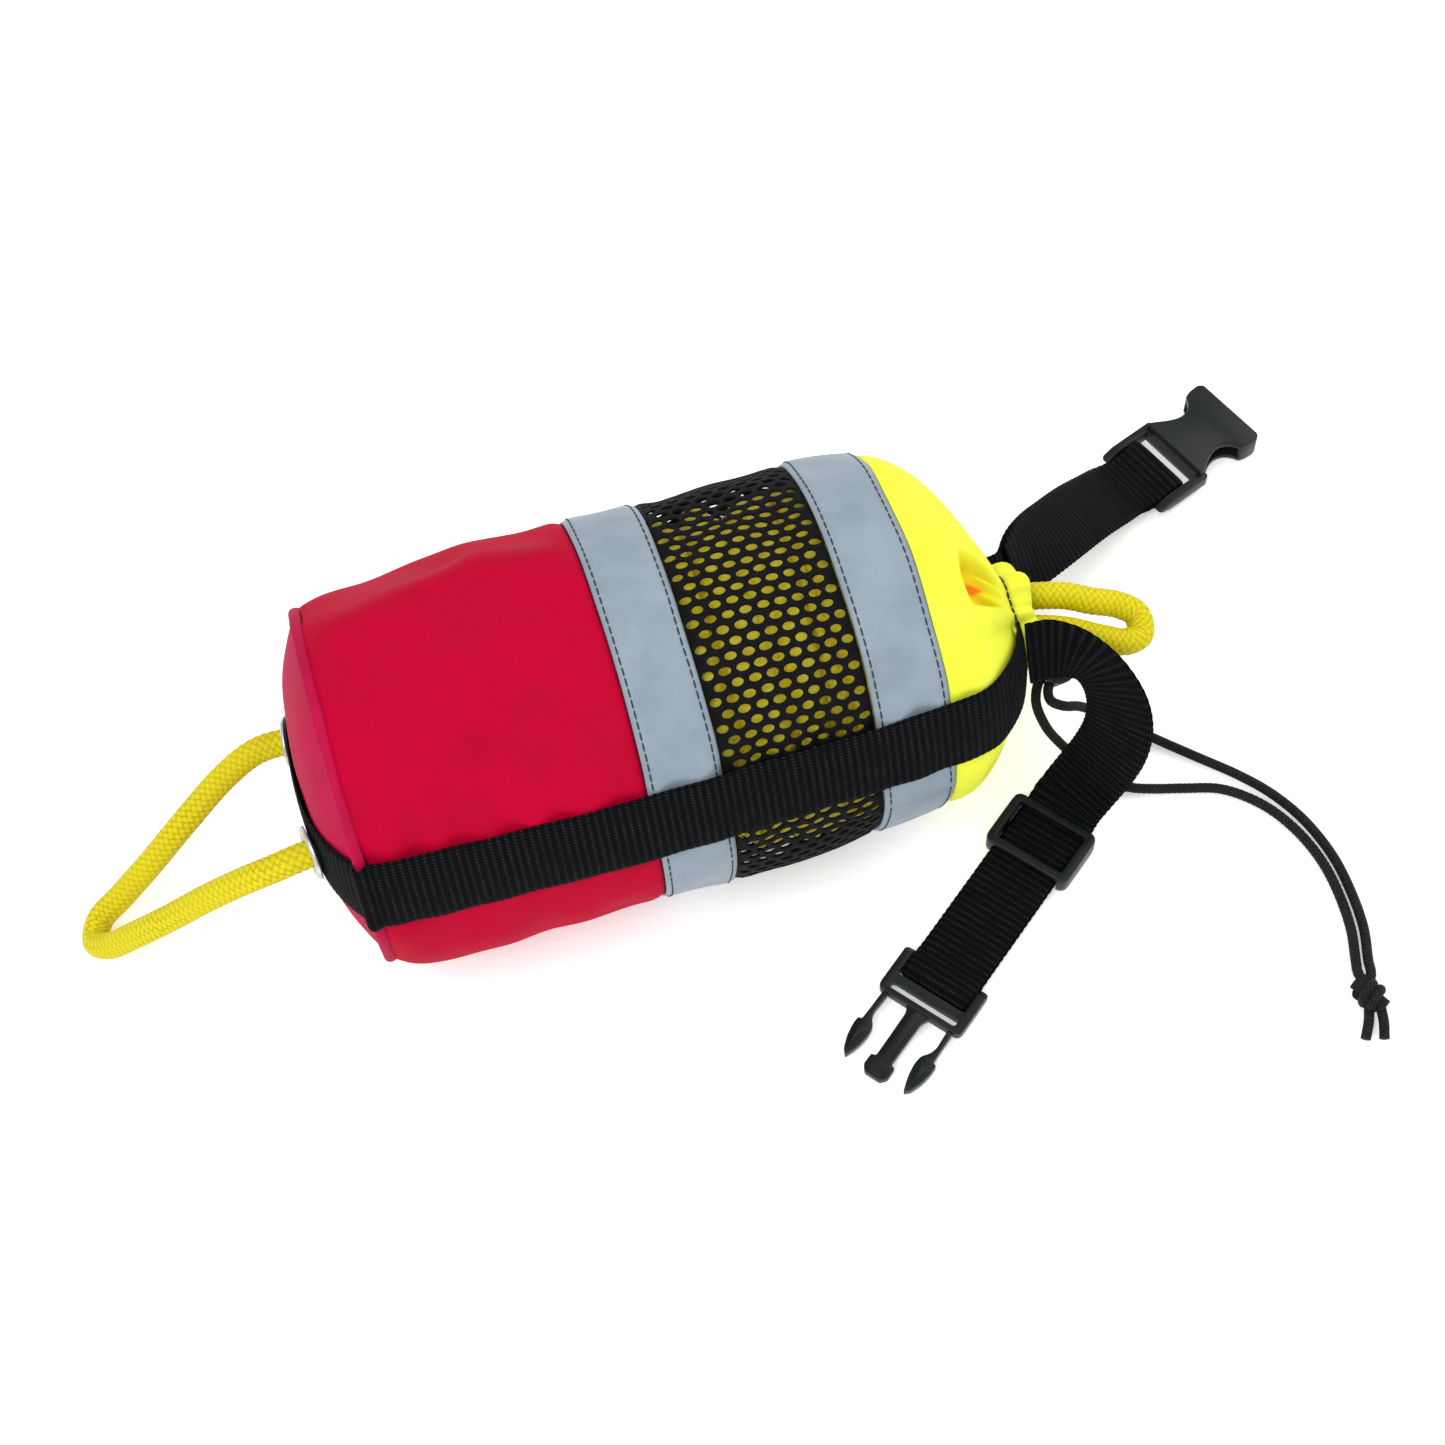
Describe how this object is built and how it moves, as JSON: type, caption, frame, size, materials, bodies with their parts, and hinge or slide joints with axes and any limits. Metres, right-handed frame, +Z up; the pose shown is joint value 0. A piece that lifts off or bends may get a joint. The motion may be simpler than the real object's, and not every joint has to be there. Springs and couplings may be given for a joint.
{
  "type": "throw rope bag",
  "caption": "Cylindrical throw rope bag with mesh window, reflective bands, gathered drawcord throat, stuffed floating rope with end loops, and buckled side webbing.",
  "frame": {"origin": "centre of the flat resting patch under the lower reflective band, on the ground, straight below the bag's axis", "axes": "+X along the bag from its base to its throat, +Z up from the ground, -Y towards the side with the buckle's prong half"},
  "size_m": [0.4669, 0.2683, 0.1271],
  "materials": {
    "red_cloth": "coated pack cloth, satin",
    "reflective_tape": "retroreflective tape, satin",
    "net": "open knitted net, matt",
    "fluoro_cloth": "coated pack cloth, satin",
    "webbing": "woven polyester webbing, matt",
    "rope": "braided floating rope, matt",
    "foam": "closed-cell foam, matt",
    "acetal": "moulded acetal, fine texture",
    "cord": "braided cord, matt",
    "grommet_metal": "nickel plated",
    "spring_steel": "drawn wire"
  },
  "bodies": {
    "bag": {"base_panel": "red_cloth", "base_foam_disc": "foam", "base_seam_binding": "red_cloth", "lower_body_panel": "red_cloth", "foam_liner": "foam", "lower_reflective_band": "reflective_tape", "mesh_window": "net", "upper_reflective_band": "reflective_tape", "throat_panel": "fluoro_cloth", "throat_hem": "fluoro_cloth", "side_webbing": "webbing", "base_grommet_near": "grommet_metal", "base_grommet_far": "grommet_metal", "stuffed_rope": "rope", "base_stopper_knot": "rope", "base_rope_loop": "rope", "throat_rope_loop": "rope", "drawcord_collar": "cord", "drawcord_strand_a": "cord", "drawcord_strand_b": "cord", "drawcord_knot": "cord", "cord_lock_body": "acetal", "cord_lock_spring": "spring_steel", "male_strap": "webbing", "female_strap": "webbing"},
    "slider": {"strap_slider": "acetal"},
    "male_buckle": {"male_buckle_frame": "acetal"},
    "male_arm_left": {"male_buckle_arm_left": "acetal"},
    "male_arm_right": {"male_buckle_arm_right": "acetal"},
    "female_buckle": {"female_buckle_body": "acetal"},
    "lock_plunger": {"cord_lock_plunger": "acetal"}
  },
  "joints": [
    {"name": "slider_travel", "type": "slide", "parent": "bag", "child": "slider", "axis": [-0.7878, -0.6159, 0], "range_m": [0, 0.028]},
    {"name": "male_buckle_pivot", "type": "hinge", "parent": "bag", "child": "male_buckle", "pos_m": [0.06947, -0.10543, 0.00445], "axis": [-0.6159, 0.7878, 0], "range_deg": [0, 35]},
    {"name": "arm_left_squeeze", "type": "hinge", "parent": "male_buckle", "child": "male_arm_left", "pos_m": [0.05149, -0.10298, 0.00445], "axis": [0, 0, 1], "range_deg": [0, 6.5], "stiffness_Nm_per_rad": 1.5},
    {"name": "arm_right_squeeze", "type": "hinge", "parent": "male_buckle", "child": "male_arm_right", "pos_m": [0.06751, -0.12347, 0.00445], "axis": [0, 0, -1], "range_deg": [0, 6.5], "stiffness_Nm_per_rad": 1.5},
    {"name": "female_buckle_pivot", "type": "hinge", "parent": "bag", "child": "female_buckle", "pos_m": [0.21825, 0.07127, 0.00545], "axis": [0.3584, -0.9336, 0], "range_deg": [0, 22]},
    {"name": "lock_button_press", "type": "slide", "parent": "bag", "child": "lock_plunger", "axis": [-0.1, -0.4502, 0.8873], "range_m": [0, 0.003], "stiffness_N_per_m": 600, "springref_m": -0.002, "deforming": ["cord_lock_spring"]}
  ]
}
